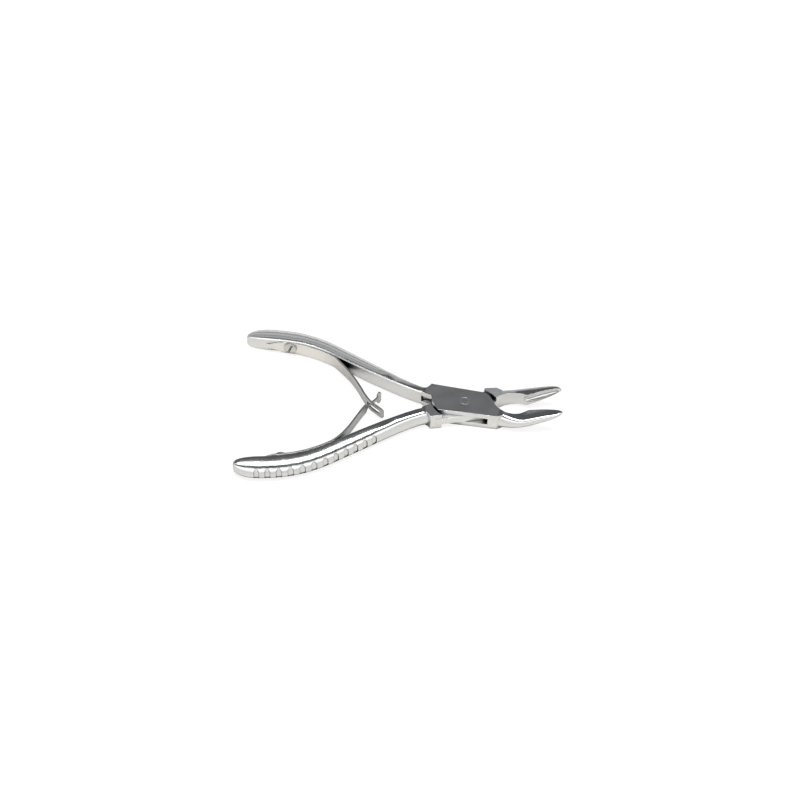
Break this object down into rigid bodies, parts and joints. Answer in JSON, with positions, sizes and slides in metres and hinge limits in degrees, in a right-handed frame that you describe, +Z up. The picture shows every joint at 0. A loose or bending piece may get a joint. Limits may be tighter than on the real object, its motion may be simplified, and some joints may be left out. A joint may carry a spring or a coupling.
{
  "type": "bone rongeur",
  "caption": "Bone-cutting forceps with raised cupped jaws, a box joint, finger-grooved handles and a double leaf spring that holds them open.",
  "frame": {"origin": "on the joint pin's axis, at the flat underside that the instrument rests on", "axes": "+X from the joint to the jaws, +Y to the handle whose spring leaf has the slot, +Z up, out of the flat the instrument rests on"},
  "size_m": [0.1406, 0.0866, 0.0111],
  "materials": {
    "arm_steel": "satin ground stainless steel with polished jaws",
    "spring_steel": "satin spring steel",
    "screw_steel": "polished steel"
  },
  "bodies": {
    "box_half": {"box_arm": "arm_steel", "joint_pin": "arm_steel", "slotted_spring_foot": "spring_steel", "slotted_spring_screw": "screw_steel"},
    "through_half": {"through_arm": "arm_steel", "tee_spring_foot": "spring_steel", "tee_spring_screw": "screw_steel"},
    "slotted_leaf": {"slotted_spring_leaf": "spring_steel"},
    "tee_leaf": {"tee_spring_leaf": "spring_steel"}
  },
  "joints": [
    {"name": "jaw_close", "type": "hinge", "parent": "box_half", "child": "through_half", "pos_m": [0, 0, 0.0041], "axis": [0, 0, -1], "range_deg": [0, 17.6], "stiffness_Nm_per_rad": 2.5, "springref_deg": -5.73},
    {"name": "slotted_leaf_bend", "type": "hinge", "parent": "box_half", "child": "slotted_leaf", "pos_m": [-0.0576, 0.02508, 0.0039], "axis": [0, 0, 1], "range_deg": [0, 16.2]},
    {"name": "tee_leaf_bend", "type": "hinge", "parent": "through_half", "child": "tee_leaf", "pos_m": [-0.05622, -0.02421, 0.0039], "axis": [0, 0, -1], "range_deg": [0, 17.2]}
  ],
  "couplings": [
    {"joint": "slotted_leaf_bend", "follows": "jaw_close", "ratio": 0.9034},
    {"joint": "tee_leaf_bend", "follows": "jaw_close", "ratio": 0.9631}
  ]
}
